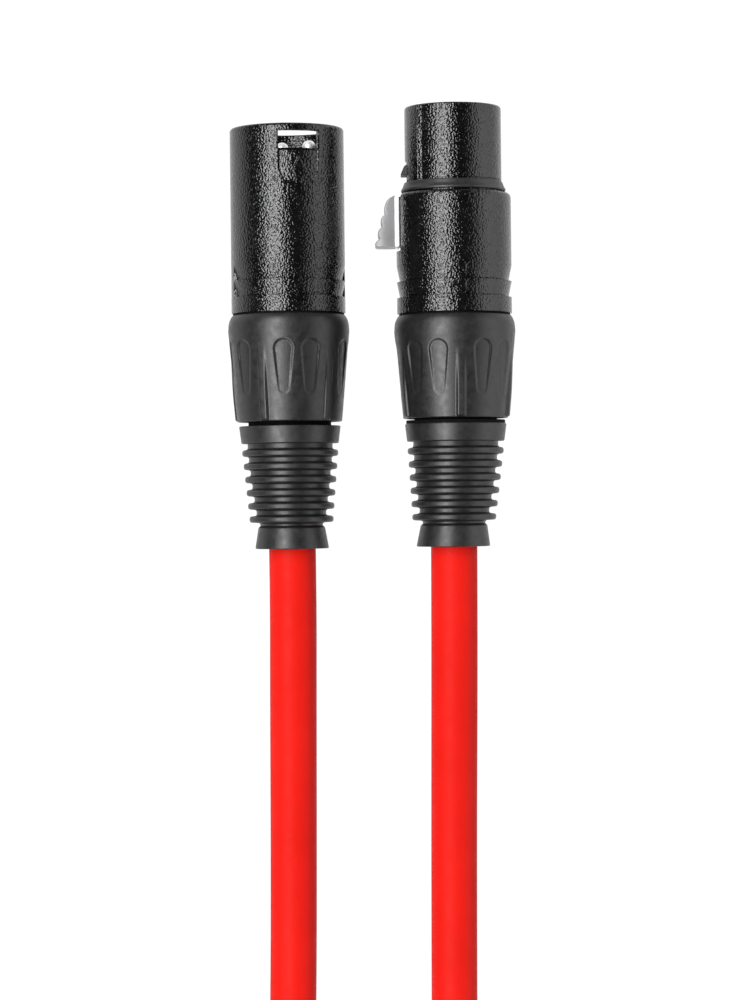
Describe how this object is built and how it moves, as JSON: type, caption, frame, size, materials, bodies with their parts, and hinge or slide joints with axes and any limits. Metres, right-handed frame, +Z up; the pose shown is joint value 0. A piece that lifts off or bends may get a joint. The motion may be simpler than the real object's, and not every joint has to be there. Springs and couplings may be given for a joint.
{
  "type": "balanced audio cable",
  "caption": "Red balanced microphone cable with male and female three-pole connectors, its length tied as a flat hank.",
  "frame": {"origin": "on the supporting surface, under the middle of the box round the two connectors", "axes": "+Y towards the connectors' mating faces, +X from the male to the female connector, +Z up from the surface"},
  "size_m": [0.072, 0.3039, 0.0408],
  "materials": {
    "black_coat": "glossy fine-grained powder coat",
    "grip_plastic": "satin",
    "boot_rubber": "satin",
    "insert_plastic": "matte",
    "contact_silver": "polished",
    "contact_brass": "polished",
    "spring_steel": "satin",
    "latch_metal": "satin nickel",
    "ring_rubber": "smooth",
    "chuck_plastic": "satin",
    "cable_jacket": "satin PVC",
    "wire_red": "satin",
    "wire_white": "satin",
    "wire_black": "satin",
    "tie_fabric": "hook-and-loop webbing"
  },
  "bodies": {
    "cable_body": {"cable_hank": "cable_jacket", "female_cable_end": "cable_jacket", "female_chuck": "chuck_plastic", "female_ground_spring": "spring_steel", "female_insert": "insert_plastic", "female_lead": "cable_jacket", "female_shell": "black_coat", "female_socket_1": "contact_brass", "female_socket_2": "contact_brass", "female_socket_3": "contact_brass", "female_wire_cold": "wire_white", "female_wire_hot": "wire_red", "female_wire_screen": "wire_black", "latch_pin": "spring_steel", "latch_spring": "spring_steel", "male_cable_end": "cable_jacket", "male_chuck": "chuck_plastic", "male_ground_spring": "spring_steel", "male_insert": "insert_plastic", "male_lead": "cable_jacket", "male_pin_1": "contact_silver", "male_pin_2": "contact_silver", "male_pin_3": "contact_silver", "male_shell": "black_coat", "male_wire_cold": "wire_white", "male_wire_hot": "wire_red", "male_wire_screen": "wire_black", "nose_ring": "ring_rubber", "tie_left": "tie_fabric", "tie_right": "tie_fabric"},
    "male_boot_body": {"male_boot": "boot_rubber"},
    "male_nut_body": {"male_nut": "grip_plastic"},
    "female_boot_body": {"female_boot": "boot_rubber"},
    "female_nut_body": {"female_nut": "grip_plastic"},
    "latch_body": {"latch_lever": "latch_metal"}
  },
  "joints": [
    {"name": "male_boot_slide", "type": "slide", "parent": "cable_body", "child": "male_boot_body", "axis": [0.0113, -0.9999, 0], "range_m": [0, 0.006]},
    {"name": "male_nut_turn", "type": "hinge", "parent": "male_boot_body", "child": "male_nut_body", "pos_m": [-0.01373, -0.00665, 0.0101], "axis": [0.0113, -0.9999, 0], "range_deg": [0, 1440]},
    {"name": "female_boot_slide", "type": "slide", "parent": "cable_body", "child": "female_boot_body", "axis": [0.0105, -0.9999, 0], "range_m": [0, 0.006]},
    {"name": "female_nut_turn", "type": "hinge", "parent": "female_boot_body", "child": "female_nut_body", "pos_m": [0.01392, -0.00665, 0.0101], "axis": [0.0105, -0.9999, 0], "range_deg": [0, 1440]},
    {"name": "latch_press", "type": "hinge", "parent": "cable_body", "child": "latch_body", "pos_m": [0.00771, 0.03329, 0.0101], "axis": [0, 0, 1], "range_deg": [0, 6.5], "stiffness_Nm_per_rad": 0.35, "springref_deg": -3.9, "deforming": ["latch_spring"]}
  ],
  "couplings": [
    {"joint": "male_nut_turn", "follows": "male_boot_slide", "rad_per_m": 4188.8},
    {"joint": "female_nut_turn", "follows": "female_boot_slide", "rad_per_m": 4188.8}
  ]
}
